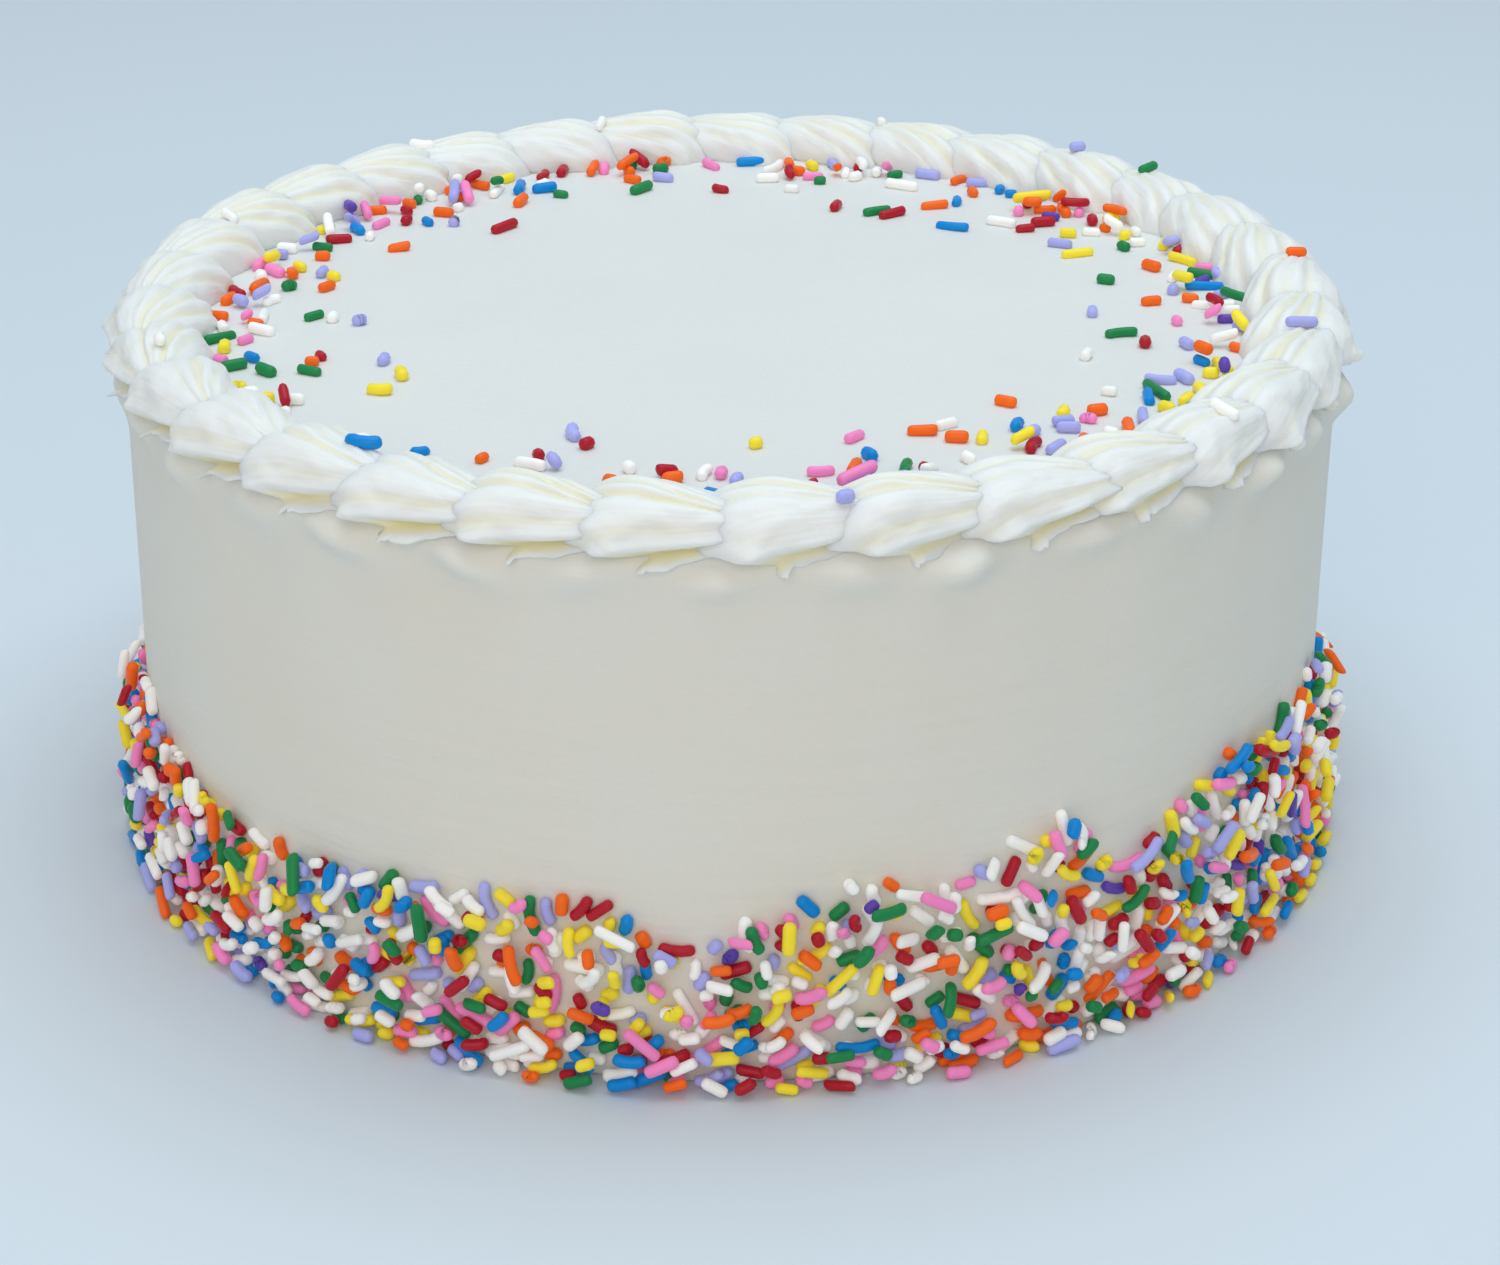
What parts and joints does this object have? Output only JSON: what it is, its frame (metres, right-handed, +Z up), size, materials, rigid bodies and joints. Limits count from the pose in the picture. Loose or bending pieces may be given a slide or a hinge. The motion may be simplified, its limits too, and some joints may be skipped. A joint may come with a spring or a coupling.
{
  "type": "celebration cake",
  "caption": "Round celebration cake in smooth ivory buttercream, with a ring of piped shells round the top edge and rainbow sprinkles round the foot and on top.",
  "frame": {"origin": "middle of the cake's flat underside, where it rests on its board or plate", "axes": "+Z up, out of the top of the cake; the seam of the piping faces no special way, and -Y is the side the picture shows in front"},
  "size_m": [0.2153, 0.2152, 0.0986],
  "materials": {
    "smooth_buttercream": "smooth ivory buttercream, soft sheen; its sprinkles are coloured in the visual layer",
    "piped_buttercream": "piped ivory buttercream, soft sheen"
  },
  "bodies": {
    "root": {"iced_cake": "smooth_buttercream", "shell_01": "piped_buttercream", "shell_02": "piped_buttercream", "shell_03": "piped_buttercream", "shell_04": "piped_buttercream", "shell_05": "piped_buttercream", "shell_06": "piped_buttercream", "shell_07": "piped_buttercream", "shell_08": "piped_buttercream", "shell_09": "piped_buttercream", "shell_10": "piped_buttercream", "shell_11": "piped_buttercream", "shell_12": "piped_buttercream", "shell_13": "piped_buttercream", "shell_14": "piped_buttercream", "shell_15": "piped_buttercream", "shell_16": "piped_buttercream", "shell_17": "piped_buttercream", "shell_18": "piped_buttercream", "shell_19": "piped_buttercream", "shell_20": "piped_buttercream", "shell_21": "piped_buttercream", "shell_22": "piped_buttercream", "shell_23": "piped_buttercream", "shell_24": "piped_buttercream", "shell_25": "piped_buttercream", "shell_26": "piped_buttercream", "shell_27": "piped_buttercream", "shell_28": "piped_buttercream", "shell_29": "piped_buttercream", "shell_30": "piped_buttercream", "shell_31": "piped_buttercream", "shell_32": "piped_buttercream", "shell_33": "piped_buttercream"}
  },
  "joints": []
}
